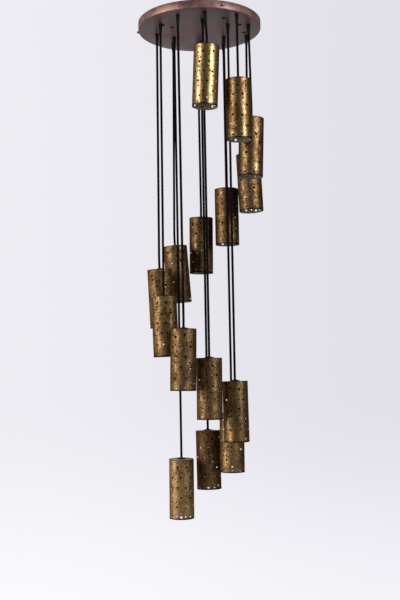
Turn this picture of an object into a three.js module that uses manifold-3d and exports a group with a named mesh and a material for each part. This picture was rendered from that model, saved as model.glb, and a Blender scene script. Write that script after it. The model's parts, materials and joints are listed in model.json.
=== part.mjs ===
// Pendant lamp: fifteen perforated brass shades under one round ceiling canopy, each on its own flex.
// The shades go down in a spiral, ten on an outer ring and then five on an inner ring.
// Millimetres, +Z up. The origin is the middle of the ceiling plate's top face, so everything hangs below it.
import * as THREE from "three";
import { mergeVertices } from "three/addons/utils/BufferGeometryUtils.js";
import Module from "manifold-3d";

const wasm = await Module();
wasm.setup();

const degree = Math.PI / 180;

// Clearance between pieces that seat on, in or through each other
const fitGap = 0.3;

// Flex, the round cord that carries each shade
const flexDiameter = 8;
const flexSides = 8;
const flexSteps = 4;
const flexLeadIn = 24; // last stretch, in line with the shade that it enters

// Bend relief, a tapered sleeve on each flex under its bush
const reliefGap = 2; // below the bush, so that the flex can swing
const reliefLength = 24;
const reliefRootWall = 2.4;
const reliefTipWall = 0.8;

// Shade, a tube with a closed top
const shadeDiameter = 83.2;
const shadeLength = 197;
const shadeWall = 1.2;
const shadeTopSheet = 1.5;
const shadeSides = 20;

// Perforations of a shade, one to a flat of the faceted tube
const perforationCount = 8;
const largePerforation = 7.8;
const smallPerforation = 4.2;
const perforationSides = 6;
const perforationFlatStep = 7; // each next hole is seven flats further round
const perforationMargin = 12; // from the top and from the open end to the first and last hole

// Lampholder with its cap, threaded nipple and bulb
const capDiameter = 30;
const capHeight = 5;
const capChamfer = 1.6;
const nippleDiameter = 10;
const holderDiameter = 39;
const holderLength = 50;
const holderMouthBevel = 3;
const bulbDiameter = 60;
const bulbNeckDiameter = 26;
const bulbReach = 82; // from the lampholder's mouth to the bulb's tip
const lampSides = 10;

// Where the shades hang: gap between neighbours on each ring, and how the drops grow
const outerRingCount = 10;
const outerRingGap = 15;
const innerRingSixth = 6; // the inner ring is spaced for six shades, and one place is empty
const innerRingGap = 24;
const firstDrop = 118; // from the canopy's underside to the top of the first shade
const dropStep = 100;
const balanceDepth = 82; // centre of mass of shade and lampholder below the shade's top

// Canopy pan and the ceiling plate inside it
const canopyMargin = 8.5; // from the outermost shade's edge on the regular ring to the rim
const canopyHeight = 27;
const panSheet = 1.5;
const panEdgeRadius = 2.5;
const panCeilingGap = 1;
const canopySides = 60;
const plateSheet = 2;
const flangeDepth = 21;

// Cord bushes on the pan: the bore widens downwards so that a flex can swing
const bushLength = 6;
const bushWall = 1.2;
const bushSides = 10;
const swingAngle = 10;

// Screws, plugs, holes and the electrical pieces
const roundSides = 12;
const rimScrewDiameter = 4;
const rimScrewHeadDiameter = 8.4;
const rimScrewHeadLength = 9;
const rimScrewTail = 5; // past the flange's inner face
const rimScrewAngles = [171, 291, 51];
const rimScrewDepth = 16; // below the ceiling
const plugDiameter = 10;
const plugHeadDiameter = 13;
const plugHeadHeight = 2.4;
const plugTail = 4;
// Plugs and open spare holes: the pendant that each lies beside, and its offsets from that pendant's exit
const plugPlaces = [
  { beside: "09", x: 6.8, y: 12.4 },
  { beside: "02", x: -42.06, y: 31.17 },
  { beside: "03", x: -29.06, y: 0.43 },
];
const spareHoles = [
  { beside: "09", x: 37.94, y: 33.84, diameter: 14 },
  { beside: "04", x: -10.84, y: -28.84, diameter: 14 },
  { beside: "04", x: -14.84, y: 49.16, diameter: 7 },
];
const panEarthPlace = [-108, 24];
const panEarthDiameter = 4;
const panEarthNutDiameter = 8;
const panEarthNutHeight = 3.2;
const panEarthLength = 12;
const plateEarthPlace = [72, 8];
const plateEarthDiameter = 4;
const plateEarthHeadDiameter = 9;
const plateEarthHeadHeight = 4;
const supplyPlace = [-72, 8];
const supplyBore = 12;
const supplySleeveDiameter = 20;
const supplyFlangeDiameter = 27;
const supplyFlangeHeight = 2.6;
const fixingHoleDiameter = 6;
const fixingHoleReach = 120;
const fixingHoleAngles = [30, 150, 270];
const terminalWays = 12;
const terminalPitch = 8;
const terminalWidth = 17;
const terminalHeight = 14;
const terminalNotch = 1.8;
const terminalNotchDepth = 6;
const terminalOffset = 42;

// Each pendant: its direction from the middle, how far it hangs outside its ring, how much its flex differs
// from the even step, and the shade's lean (the way its open end leans, towards +X and towards +Y)
const pendants = [
  { angle: -83, out: 17, extra: 0, leanX: -2.8, leanY: 0.8 },
  { angle: -50, out: 31, extra: 2, leanX: 0, leanY: 1.6 },
  { angle: -17, out: 17, extra: 6, leanX: -2.2, leanY: 0 },
  { angle: 19, out: 10, extra: 4, leanX: 2.2, leanY: -0.8 },
  { angle: 57, out: -3, extra: 8, leanX: 0, leanY: 0 },
  { angle: 92, out: 8, extra: 3, leanX: -0.7, leanY: 0.8 },
  { angle: 130, out: -5, extra: 9, leanX: 4, leanY: 0.5 },
  { angle: 171, out: -7, extra: 0, leanX: 2.2, leanY: 1 },
  { angle: 208, out: -8, extra: -1, leanX: 1.6, leanY: 0 },
  { angle: 245, out: 5, extra: 9, leanX: -1.2, leanY: -0.5 },
  { angle: 276, out: -1, extra: 3, leanX: -0.4, leanY: -1 },
  { angle: 328, out: 4, extra: -21, leanX: 0.6, leanY: 0 },
  { angle: 35, out: -3, extra: -12, leanX: -0.4, leanY: 0.2 },
  { angle: 88, out: 1, extra: -52, leanX: 0.4, leanY: -0.6 },
  { angle: 147, out: -3, extra: -62, leanX: -0.4, leanY: 1 },
];
const shadeTurn = 137.5; // each shade hangs turned by this much more than the one before

// Sizes that follow from the ones above
const flexRadius = flexDiameter / 2;
const shadeRadius = shadeDiameter / 2;
const outerRing = (shadeDiameter + outerRingGap) / 2 / Math.sin(Math.PI / outerRingCount);
const innerRing = (shadeDiameter + innerRingGap) / 2 / Math.sin(Math.PI / innerRingSixth);
const canopyRadius = outerRing + shadeRadius + canopyMargin;
const panInside = canopyRadius - panSheet;
const flangeRadius = panInside - fitGap;
const boreRadius = flexRadius / Math.cos(swingAngle * degree) + fitGap;
const boreMouth = boreRadius + bushLength * Math.tan(swingAngle * degree);
const bushRadius = boreMouth / Math.cos(Math.PI / bushSides) + bushWall;

const finishes = {
  agedBrass: { color: 0x94713f, roughness: 0.42, metalness: 1 },
  copperBrown: { color: 0x7a5348, roughness: 0.5, metalness: 0.6 },
  blackCord: { color: 0x161515, roughness: 0.7, metalness: 0 },
  blackHolder: { color: 0x1c1917, roughness: 0.4, metalness: 0 },
  zincSteel: { color: 0x9b9b98, roughness: 0.45, metalness: 1 },
  blackSteel: { color: 0x3a2c28, roughness: 0.45, metalness: 0.6 },
  palePlastic: { color: 0xe0dccd, roughness: 0.5, metalness: 0 },
  blackRubber: { color: 0x1d1c1b, roughness: 0.8, metalness: 0 },
};

const pendantLamp = new THREE.Group();

// Merges a geometry's shared vertices and drops the triangles that close up at the axis
function solidOf(geometry) {
  const bare = geometry.clone();
  bare.deleteAttribute("normal");
  bare.deleteAttribute("uv");
  const merged = mergeVertices(bare, 1e-4);
  const corners = merged.index.array;
  const kept = [];
  for (let i = 0; i < corners.length; i += 3) {
    const [a, b, c] = [corners[i], corners[i + 1], corners[i + 2]];
    if (a !== b && b !== c && c !== a) kept.push(a, b, c);
  }
  const vertProperties = new Float32Array(merged.attributes.position.array);
  return new wasm.Manifold(new wasm.Mesh({ numProp: 3, vertProperties, triVerts: new Uint32Array(kept) }));
}

function geometryOf(solid) {
  const { vertProperties, triVerts } = solid.getMesh();
  const geometry = new THREE.BufferGeometry();
  geometry.setAttribute("position", new THREE.BufferAttribute(new Float32Array(vertProperties), 3));
  geometry.setIndex(new THREE.BufferAttribute(new Uint32Array(triVerts), 1));
  geometry.computeVertexNormals();
  return geometry;
}

function addPiece(name, geometry, finish, parent = pendantLamp) {
  const piece = new THREE.Mesh(geometry, new THREE.MeshStandardMaterial(finishes[finish]));
  piece.name = name;
  parent.add(piece);
  return piece;
}

// Turns a profile of [radius, height] points about the Z axis; the profile runs anticlockwise
function turned(profile, sides) {
  const points = profile.map(([radius, height]) => new THREE.Vector2(radius, height));
  return new THREE.LatheGeometry(points, sides).rotateX(Math.PI / 2);
}

// A plain round bar about the Z axis, from one height to another
function bar(radius, low, high, sides = roundSides) {
  return turned([[0, low], [radius, low], [radius, high], [0, high]], sides);
}

function twoDigits(index) {
  return String(index + 1).padStart(2, "0");
}

// The places of one pendant: the shade's top, the way that its axis points upwards, and the flex's exit
function hangingPlaces(pendant, index) {
  const ring = index < outerRingCount ? outerRing : innerRing;
  const reach = ring + pendant.out;
  const drop = firstDrop + index * dropStep + pendant.extra;
  const slopeX = Math.tan(pendant.leanX * degree);
  const slopeY = Math.tan(pendant.leanY * degree);
  const x = reach * Math.cos(pendant.angle * degree);
  const y = reach * Math.sin(pendant.angle * degree);
  return {
    top: new THREE.Vector3(x, y, -canopyHeight - drop),
    up: new THREE.Vector3(-slopeX, -slopeY, 1).normalize(),
    exit: new THREE.Vector3(x + slopeX * balanceDepth, y + slopeY * balanceDepth, -canopyHeight),
  };
}

const places = pendants.map(hangingPlaces);

// A place on the pan's floor, from the exit of the pendant that it lies beside
function floorPlace({ beside, x, y }) {
  const { exit } = places[Number(beside) - 1];
  return [exit.x + x, exit.y + y];
}

// Canopy pan: a shallow round pan with its open side up, a bush under each flex, and the spare holes
function canopyPan() {
  const floor = -canopyHeight;
  const inner = floor + panSheet;
  const rounding = [0, 45, 90].map((turn) => [
    canopyRadius - panEdgeRadius * (1 - Math.sin(turn * degree)),
    floor + panEdgeRadius * (1 - Math.cos(turn * degree)),
  ]);
  let pan = solidOf(turned([
    [0, floor],
    ...rounding,
    [canopyRadius, -panCeilingGap],
    [panInside, -panCeilingGap],
    [panInside, inner],
    [0, inner],
  ], canopySides));
  const bush = solidOf(bar(bushRadius, floor - bushLength, inner - panSheet / 2, bushSides));
  const widening = 1 / Math.cos(Math.PI / bushSides);
  const pastMouth = 1;
  const bore = solidOf(turned([
    [0, floor - bushLength - pastMouth],
    [(boreMouth + pastMouth * Math.tan(swingAngle * degree)) * widening, floor - bushLength - pastMouth],
    [boreRadius * widening, floor],
    [boreRadius * widening, inner + 1],
    [0, inner + 1],
  ], bushSides));
  for (const { exit } of places) pan = pan.add(bush.translate([exit.x, exit.y, 0]));
  for (const { exit } of places) pan = pan.subtract(bore.translate([exit.x, exit.y, 0]));
  const through = (diameter, [x, y]) => solidOf(bar(diameter / 2, floor - 1, inner + 1)).translate([x, y, 0]);
  for (const plug of plugPlaces) pan = pan.subtract(through(plugDiameter + 2 * fitGap, floorPlace(plug)));
  for (const hole of spareHoles) pan = pan.subtract(through(hole.diameter, floorPlace(hole)));
  for (const angle of rimScrewAngles) pan = pan.subtract(rimScrewHole(angle));
  return geometryOf(pan);
}

// Ceiling plate: a disc with its edge turned down inside the pan
function ceilingPlate() {
  let plate = solidOf(turned([
    [0, -plateSheet],
    [flangeRadius - plateSheet, -plateSheet],
    [flangeRadius - plateSheet, -flangeDepth],
    [flangeRadius, -flangeDepth],
    [flangeRadius, 0],
    [0, 0],
  ], canopySides));
  const through = (diameter, x, y) => solidOf(bar(diameter / 2, -plateSheet - 1, 1)).translate([x, y, 0]);
  for (const angle of fixingHoleAngles) {
    const x = fixingHoleReach * Math.cos(angle * degree);
    const y = fixingHoleReach * Math.sin(angle * degree);
    plate = plate.subtract(through(fixingHoleDiameter, x, y));
  }
  plate = plate.subtract(through(supplySleeveDiameter + 2 * fitGap, ...supplyPlace));
  plate = plate.subtract(through(plateEarthDiameter + 2 * fitGap, ...plateEarthPlace));
  for (const angle of rimScrewAngles) plate = plate.subtract(rimScrewHole(angle));
  return geometryOf(plate);
}

// Rim screws point outwards from the canopy's axis, and their heads seat on the flats of the pan's rim
const rimScrewSeat = canopyRadius * Math.cos(Math.PI / canopySides) + fitGap;
const rimScrewTip = flangeRadius - plateSheet - rimScrewTail;

function placedInRim(geometry, angle) {
  return geometry.rotateY(Math.PI / 2).translate(0, 0, -rimScrewDepth).rotateZ(angle * degree);
}

function rimScrewHole(angle) {
  return solidOf(placedInRim(bar(rimScrewDiameter / 2 + fitGap, rimScrewTip - 1, rimScrewSeat + 1), angle));
}

function rimScrew(angle) {
  const shank = rimScrewDiameter / 2;
  const head = rimScrewHeadDiameter / 2;
  const end = rimScrewSeat + rimScrewHeadLength;
  const bevel = head / 5;
  const screw = turned([
    [0, rimScrewTip],
    [shank, rimScrewTip],
    [shank, rimScrewSeat],
    [head, rimScrewSeat],
    [head, end - bevel],
    [head - bevel, end],
    [0, end],
  ], roundSides);
  return geometryOf(solidOf(placedInRim(screw, angle)));
}

// Blanking plug, pushed up through a hole in the pan's floor, with its low dome below the sheet
function blankingPlug([x, y]) {
  const seat = -canopyHeight - fitGap;
  const end = -canopyHeight + panSheet + plugTail;
  const head = plugHeadDiameter / 2;
  const plug = turned([
    [0, seat - plugHeadHeight],
    [head * 0.6, seat - plugHeadHeight],
    [head, seat - plugHeadHeight / 2],
    [head, seat],
    [plugDiameter / 2, seat],
    [plugDiameter / 2, end],
    [0, end],
  ], roundSides);
  return geometryOf(solidOf(plug.translate(x, y, 0)));
}

// Earth stud on the pan's floor, inside, with its nut at the foot
function panEarthStud() {
  const foot = -canopyHeight + panSheet + fitGap;
  const stud = turned([
    [0, foot],
    [panEarthNutDiameter / 2, foot],
    [panEarthNutDiameter / 2, foot + panEarthNutHeight],
    [panEarthDiameter / 2, foot + panEarthNutHeight],
    [panEarthDiameter / 2, foot + panEarthLength],
    [0, foot + panEarthLength],
  ], roundSides);
  return geometryOf(solidOf(stud.translate(...panEarthPlace, 0)));
}

// Earth screw of the ceiling plate, with its head below the plate
function plateEarthScrew() {
  const seat = -plateSheet - fitGap;
  const head = plateEarthHeadDiameter / 2;
  const screw = turned([
    [0, seat - plateEarthHeadHeight],
    [head * 0.8, seat - plateEarthHeadHeight],
    [head, seat - plateEarthHeadHeight / 2],
    [head, seat],
    [plateEarthDiameter / 2, seat],
    [plateEarthDiameter / 2, -fitGap],
    [0, -fitGap],
  ], roundSides);
  return geometryOf(solidOf(screw.translate(...plateEarthPlace, 0)));
}

// Supply grommet: a sleeve in the ceiling plate's hole, with its flange below the plate
function supplyGrommet() {
  const seat = -plateSheet - fitGap;
  const grommet = turned([
    [supplyBore / 2, seat - supplyFlangeHeight],
    [supplyFlangeDiameter / 2, seat - supplyFlangeHeight],
    [supplyFlangeDiameter / 2, seat],
    [supplySleeveDiameter / 2, seat],
    [supplySleeveDiameter / 2, -fitGap],
    [supplyBore / 2, -fitGap],
    [supplyBore / 2, seat - supplyFlangeHeight],
  ], roundSides);
  return geometryOf(solidOf(grommet.translate(...supplyPlace, 0)));
}

// Terminal strip: a bar under the ceiling plate, notched between its ways
function terminalStrip(side) {
  const length = terminalWays * terminalPitch;
  const high = -plateSheet - fitGap;
  const low = high - terminalHeight;
  const outline = new THREE.Shape();
  outline.moveTo(-length / 2, high);
  outline.lineTo(-length / 2, low);
  for (let way = 1; way < terminalWays; way++) {
    const x = way * terminalPitch - length / 2;
    outline.lineTo(x - terminalNotch / 2, low);
    outline.lineTo(x - terminalNotch / 2, low + terminalNotchDepth);
    outline.lineTo(x + terminalNotch / 2, low + terminalNotchDepth);
    outline.lineTo(x + terminalNotch / 2, low);
  }
  outline.lineTo(length / 2, low);
  outline.lineTo(length / 2, high);
  outline.closePath();
  const strip = new THREE.ExtrudeGeometry(outline, { depth: terminalWidth, bevelEnabled: false });
  strip.rotateX(Math.PI / 2).translate(0, terminalWidth / 2 + side * terminalOffset, 0);
  return geometryOf(solidOf(strip));
}

// Shade with its top at z = 0: hole i sits on its own flat, and the holes go down in even steps
function shade() {
  const nippleHole = nippleDiameter / 2 + fitGap;
  const inside = shadeRadius - shadeWall;
  let tube = solidOf(turned([
    [nippleHole, -shadeTopSheet],
    [inside, -shadeTopSheet],
    [inside, -shadeLength],
    [shadeRadius, -shadeLength],
    [shadeRadius, 0],
    [nippleHole, 0],
    [nippleHole, -shadeTopSheet],
  ], shadeSides));
  const fall = (shadeLength - 2 * perforationMargin) / perforationCount;
  for (let i = 0; i < perforationCount; i++) {
    const diameter = i % 4 === 2 ? smallPerforation : largePerforation;
    const height = -perforationMargin - (i + 0.5) * fall;
    const angle = (i * perforationFlatStep + 0.5) * (2 * Math.PI / shadeSides);
    const hole = bar(diameter / 2, -2 * shadeWall, 2 * shadeWall, perforationSides);
    hole.rotateY(Math.PI / 2).translate(shadeRadius, 0, height).rotateZ(angle);
    tube = tube.subtract(solidOf(hole));
  }
  return geometryOf(tube);
}

// Lampholder and bulb below the shade's top at z = 0, the cap above it, and the nipple between them
function lampholder() {
  const cap = capDiameter / 2;
  const nipple = nippleDiameter / 2;
  const holder = holderDiameter / 2;
  const seat = -shadeTopSheet - fitGap;
  const mouth = seat - holderLength;
  const tip = mouth - bulbReach;
  const bulb = bulbDiameter / 2;
  const globe = [-90, -42, 4, 48].map((turn) => [
    bulb * Math.cos(turn * degree),
    tip + bulb + bulb * Math.sin(turn * degree),
  ]);
  globe[0][0] = 0;
  return geometryOf(solidOf(turned([
    ...globe,
    [bulbNeckDiameter / 2, mouth],
    [holder - holderMouthBevel, mouth],
    [holder, mouth + holderMouthBevel],
    [holder, seat],
    [nipple, seat],
    [nipple, fitGap],
    [cap, fitGap],
    [cap, fitGap + capHeight - capChamfer],
    [cap - capChamfer, fitGap + capHeight],
    [0, fitGap + capHeight],
  ], lampSides)));
}

// Bend relief below an exit at z = 0: widest under the bush, and narrowing downwards
function bendRelief() {
  const root = -bushLength - reliefGap;
  const tip = root - reliefLength;
  return turned([
    [0, tip],
    [flexRadius + reliefTipWall, tip],
    [flexRadius + reliefRootWall, root],
    [0, root],
  ], flexSides);
}

// Flex: from its exit straight down, and in line with the shade where it meets the cap
function flex({ top, up, exit }) {
  const end = top.clone().addScaledVector(up, 2 * fitGap + capHeight);
  const lead = end.clone().addScaledVector(up, flexLeadIn);
  const middle = exit.clone().lerp(lead, 0.5);
  const route = new THREE.CatmullRomCurve3([exit, middle, lead, end]);
  const section = new THREE.Shape();
  for (let side = 0; side < flexSides; side++) {
    const turn = (2 * Math.PI * side) / flexSides;
    const corner = [flexRadius * Math.cos(turn), flexRadius * Math.sin(turn)];
    if (side === 0) section.moveTo(...corner);
    else section.lineTo(...corner);
  }
  section.closePath();
  const cord = new THREE.ExtrudeGeometry(section, { steps: flexSteps, extrudePath: route, bevelEnabled: false });
  const upwards = route.getTangent(0).negate();
  const aim = new THREE.Quaternion().setFromUnitVectors(new THREE.Vector3(0, 0, 1), upwards);
  const relief = bendRelief().applyQuaternion(aim).translate(exit.x, exit.y, exit.z);
  return geometryOf(solidOf(cord).add(solidOf(relief)));
}

addPiece("ceiling_plate", ceilingPlate(), "zincSteel");
addPiece("canopy_pan", canopyPan(), "copperBrown");
rimScrewAngles.forEach((angle, i) => addPiece(`rim_screw_${i + 1}`, rimScrew(angle), "blackSteel"));
plugPlaces.forEach((plug, i) => {
  addPiece(`blanking_plug_${i + 1}`, blankingPlug(floorPlace(plug)), "blackRubber");
});
addPiece("pan_earth_stud", panEarthStud(), "zincSteel");
addPiece("plate_earth_screw", plateEarthScrew(), "zincSteel");
addPiece("supply_grommet", supplyGrommet(), "blackRubber");
[-1, 1].forEach((side, i) => addPiece(`terminal_strip_${i + 1}`, terminalStrip(side), "palePlastic"));

const shadeGeometry = shade();
const lampholderGeometry = lampholder();
places.forEach((place, index) => {
  const number = twoDigits(index);
  const hanger = new THREE.Group();
  hanger.position.copy(place.top);
  hanger.quaternion.setFromUnitVectors(new THREE.Vector3(0, 0, 1), place.up);
  pendantLamp.add(hanger);
  const turn = index * shadeTurn * degree;
  addPiece(`shade_${number}`, shadeGeometry.clone(), "agedBrass", hanger).rotation.z = turn;
  addPiece(`lampholder_${number}`, lampholderGeometry.clone(), "blackHolder", hanger).rotation.z = turn;
  addPiece(`flex_${number}`, flex(place), "blackCord");
});

export default pendantLamp;
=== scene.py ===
import bmesh
import bpy
import json
import math
import numpy as np
from mathutils import Matrix, Vector
from mathutils.geometry import delaunay_2d_cdt

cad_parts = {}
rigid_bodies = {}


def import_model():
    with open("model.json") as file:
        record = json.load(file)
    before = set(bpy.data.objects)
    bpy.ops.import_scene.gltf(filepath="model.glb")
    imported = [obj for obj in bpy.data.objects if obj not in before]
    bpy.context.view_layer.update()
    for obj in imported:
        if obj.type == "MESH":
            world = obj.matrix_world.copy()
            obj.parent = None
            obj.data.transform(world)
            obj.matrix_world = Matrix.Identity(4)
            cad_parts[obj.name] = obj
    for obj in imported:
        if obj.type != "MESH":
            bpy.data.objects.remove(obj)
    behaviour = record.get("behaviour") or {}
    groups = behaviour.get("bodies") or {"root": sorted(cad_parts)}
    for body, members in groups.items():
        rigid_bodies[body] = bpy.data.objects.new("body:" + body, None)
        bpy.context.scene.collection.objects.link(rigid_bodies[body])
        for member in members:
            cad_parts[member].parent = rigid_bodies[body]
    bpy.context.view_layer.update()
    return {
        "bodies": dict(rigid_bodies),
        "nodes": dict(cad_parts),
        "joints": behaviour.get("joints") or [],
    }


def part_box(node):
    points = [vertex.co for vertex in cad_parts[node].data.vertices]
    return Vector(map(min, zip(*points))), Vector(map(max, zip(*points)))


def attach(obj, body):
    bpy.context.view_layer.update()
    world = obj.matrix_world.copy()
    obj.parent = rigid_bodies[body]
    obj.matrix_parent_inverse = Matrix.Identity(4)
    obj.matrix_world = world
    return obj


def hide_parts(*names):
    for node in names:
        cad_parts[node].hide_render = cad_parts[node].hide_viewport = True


# Pendant lamp: perforated brass shades on black flexes, under one round canopy. Metres, +Z up.
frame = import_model()
swings = {joint["child"]: joint for joint in frame["joints"]}
pendants = sorted(name for name in frame["bodies"] if name.startswith("pendant_"))
print("frame loaded,", len(pendants), "pendants")


# Shader maths: a wire is one socket, and arithmetic on wires adds Math nodes

class Wire:
    def __init__(self, tree, socket=None):
        self.tree = tree
        self.socket = socket

    # Adds a node: its settings first, then its sockets, and gives back one of its outputs
    def node(self, kind, settings=None, inputs=None, output=0):
        new = self.tree.nodes.new("ShaderNode" + kind)
        for key, value in (settings or {}).items():
            setattr(new, key, value)
        for key, value in (inputs or {}).items():
            if isinstance(value, Wire):
                self.tree.links.new(value.socket, new.inputs[key])
            else:
                new.inputs[key].default_value = value
        return Wire(self.tree, new.outputs[output]) if new.outputs else None

    def maths(self, operation, first, second=0.0):
        return self.node("Math", {"operation": operation}, {0: first, 1: second})

    def __add__(self, other):
        return self.maths("ADD", self, other)

    def __radd__(self, other):
        return self.maths("ADD", other, self)

    def __sub__(self, other):
        return self.maths("SUBTRACT", self, other)

    def __rsub__(self, other):
        return self.maths("SUBTRACT", other, self)

    def __mul__(self, other):
        return self.maths("MULTIPLY", self, other)

    def __rmul__(self, other):
        return self.maths("MULTIPLY", other, self)

    # 0 below low, 1 above high, and a smooth step between
    def step(self, low, high):
        settings = {"interpolation_type": "SMOOTHSTEP"}
        return self.node("MapRange", settings, {"Value": self, "From Min": low, "From Max": high})

    # One colour where this wire is 0, the other where it is 1
    def tint(self, zero, one):
        return self.node("Mix", {"data_type": "RGBA"}, {0: self, 6: zero, 7: one}, 2)


def opaque(colour):
    return (*colour, 1.0)


def startMaterial(name):
    material = bpy.data.materials.new(name)
    material.use_nodes = True
    material.node_tree.nodes.clear()
    return material, Wire(material.node_tree)


def finishMaterial(material, wires, inputs):
    surface = wires.node("BsdfPrincipled", None, inputs)
    wires.node("OutputMaterial", None, {"Surface": surface})
    return material


def objectPlace(wires):
    return wires.node("TexCoord", output="Object")


# A point attribute of the mesh, such as a shade's tone
def markOf(wires, name):
    return wires.node("Attribute", {"attribute_name": name}, None, "Fac")


# The place, stretched by three factors, so that a pattern runs long or short along an axis
def stretched(place, factors):
    return place.node("VectorMath", {"operation": "MULTIPLY"}, {0: place, 1: factors})


def noise(place, scale, detail=3.0, roughness=0.55):
    inputs = {"Vector": place, "Scale": scale, "Detail": detail, "Roughness": roughness}
    return place.node("TexNoise", None, inputs)


def cells(place, scale):
    return place.node("TexVoronoi", None, {"Vector": place, "Scale": scale}, "Distance")


def bump(height, strength, distance):
    return height.node("Bump", None, {"Height": height, "Strength": strength, "Distance": distance})


# Meshes: points as an (n, 3) array, faces as a list of (n, corners) index arrays. Marks are point
# attributes, and the sharp angle is in degrees.

def makeMesh(name, points, faces, material, sharp=35.0, merge=True, normals=None, marks=None):
    mesh = bpy.data.meshes.new(name)
    corners = np.concatenate([np.asarray(part, np.int32).ravel() for part in faces])
    sizes = np.concatenate([np.full(len(part), part.shape[1], np.int32) for part in faces])
    starts = np.concatenate([[0], np.cumsum(sizes)[:-1]]).astype(np.int32)
    mesh.vertices.add(len(points))
    mesh.vertices.foreach_set("co", np.asarray(points, np.float32).ravel())
    mesh.loops.add(len(corners))
    mesh.loops.foreach_set("vertex_index", corners)
    mesh.polygons.add(len(sizes))
    mesh.polygons.foreach_set("loop_start", starts)
    mesh.polygons.foreach_set("use_smooth", np.ones(len(sizes), bool))
    mesh.update(calc_edges=True)
    if merge:
        work = bmesh.new()
        work.from_mesh(mesh)
        bmesh.ops.remove_doubles(work, verts=work.verts, dist=1e-7)
        work.to_mesh(mesh)
        work.free()
    mesh.set_sharp_from_angle(angle=math.radians(sharp))
    for mark, value in (marks or {}).items():
        spread = np.broadcast_to(value, len(mesh.vertices)).astype(np.float32)
        mesh.attributes.new(mark, "FLOAT", "POINT").data.foreach_set("value", spread)
    if normals is not None:
        mesh.normals_split_custom_set(normals.tolist())
    piece = bpy.data.objects.new(name, mesh)
    bpy.context.scene.collection.objects.link(piece)
    mesh.materials.append(material)
    return piece


# Faces of a grid of rows by columns; the columns close into a ring, and the rows may too
def gridFaces(rows, columns, closeRows=False):
    index = np.arange(rows * columns).reshape(rows, columns)
    if closeRows:
        index = np.concatenate([index, index[:1]])
    around = np.roll(index, -1, axis=1)
    quads = np.stack([index[:-1], around[:-1], around[1:], index[1:]], axis=-1)
    return quads.reshape(-1, 4)


# A profile of radius and height turned about Z: x = r cos a, y = r sin a, z = h. It runs anticlockwise.
def turned(profile, sides, closed=False):
    profile = np.array(profile, float)
    angle = np.arange(sides) * (2 * math.pi / sides)
    radius, height = profile[:, :1], profile[:, 1:]
    points = np.stack([
        radius * np.cos(angle),
        radius * np.sin(angle),
        np.broadcast_to(height, (len(profile), sides)),
    ], axis=-1)
    return points.reshape(-1, 3), [gridFaces(len(profile), sides, closed)]


# An arc of a profile, from one angle to another in degrees about a centre
def arc(centre, radius, start, end, steps=5):
    angle = np.radians(np.linspace(start, end, steps))
    return [(centre[0] + radius * math.cos(a), centre[1] + radius * math.sin(a)) for a in angle]


# The turn that takes +Z to a given direction, after a turn about Z itself
def aligned(up, turn=0.0):
    tilt = Vector((0, 0, 1)).rotation_difference(Vector(up)).to_matrix()
    return np.array(tilt @ Matrix.Rotation(turn, 3, "Z"))


def settle(piece, body, slot, *nodes):
    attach(piece, body)
    if nodes:
        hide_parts(*nodes)
    return piece


# Camera, from a fit to the canopy's ellipse and the shades' edges in the 400 by 600 picture

view = {
    "place": (-0.0150, -3.1313, -1.1878),
    "pitch": 4.31,  # degrees above level
    "roll": -1.05,
    "focalPixels": 936.8,
    "imageHeight": 600,
    "sensor": 36.0,  # mm
}


def makeCamera():
    camera = bpy.data.cameras.new("camera")
    camera.sensor_fit = "VERTICAL"
    camera.sensor_height = view["sensor"]
    camera.lens = view["focalPixels"] * view["sensor"] / view["imageHeight"]
    stand = bpy.data.objects.new("camera", camera)
    bpy.context.scene.collection.objects.link(stand)
    aim = Matrix.Rotation(math.radians(90 + view["pitch"]), 4, "X")
    spin = Matrix.Rotation(math.radians(view["roll"]), 4, "Z")
    stand.matrix_world = Matrix.Translation(view["place"]) @ aim @ spin
    bpy.context.scene.camera = stand


makeCamera()
print("camera set")

# Where each pendant hangs, read from its lampholder: the bulb's tip and the middle of the turned solid

hang = {
    "tipDepth": 0.1338,  # the bulb's tip below the shade's top
    "capTop": 0.0053,  # above the shade's top
    "turnStep": 137.5,  # degrees from one shade to the next
}


def hangingPlace(body):
    number = body[-2:]
    mesh = frame["nodes"]["lampholder_" + number].data
    points = np.array([vertex.co for vertex in mesh.vertices])
    points = np.unique(points.round(6), axis=0)
    tip = points[points[:, 2].argmin()]
    up = points.mean(axis=0) - tip
    up /= np.linalg.norm(up)
    return {
        "number": number,
        "body": body,
        "up": up,
        "top": tip + up * hang["tipDepth"],
        "exit": np.array(swings[body]["pos_m"], float),
        "turn": math.radians(hang["turnStep"] * (int(number) - 1)),
    }


places = [hangingPlace(body) for body in pendants]


# Points in a pendant's own frame, with its shade's top at z = 0, put in their place
def hung(points, place):
    return points @ aligned(place["up"], place["turn"]).T + place["top"]


# A piece that rides on a pendant, from a shape of points and faces in the pendant's own frame
def hangPiece(place, name, shape, finish, slot, node, sharp=35.0):
    points, faces = shape
    piece = makeMesh(name + place["number"], hung(points, place), faces, finish, sharp)
    settle(piece, place["body"], slot, node + place["number"])


# Finishes: noise scales are in features to the metre

brass = {
    "gold": (0.48, 0.325, 0.138),
    "olive": (0.092, 0.048, 0.0195),
    "soot": (0.014, 0.009, 0.006),
    "rose": (0.22, 0.105, 0.060),
    "edge": (0.45, 0.37, 0.31),
    "broad": 15,
    "cloud": 85,
    "patch": 210,
    "grain": 700,
    "freckle": 185,
    "freckleSize": (0.13, 0.34),  # in cells of the pattern, full and faded
    "clump": 90,
    "clumpEdge": (0.40, 0.54),
    "bare": 0.76,  # more of it leaves more gold
    "tarnish": (0.12, 0.86),
    "blush": 34,
    "blushEdge": (0.50, 0.66),
    "blushShare": 0.42,
    # Painted shade: the next two ranges are dark bands along the tube's top and foot edges
    "topBand": (0.976, 0.990),  # shares of the shade's height
    "footBand": (0.026, 0.040),
    "roughness": 0.24,
}
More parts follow.
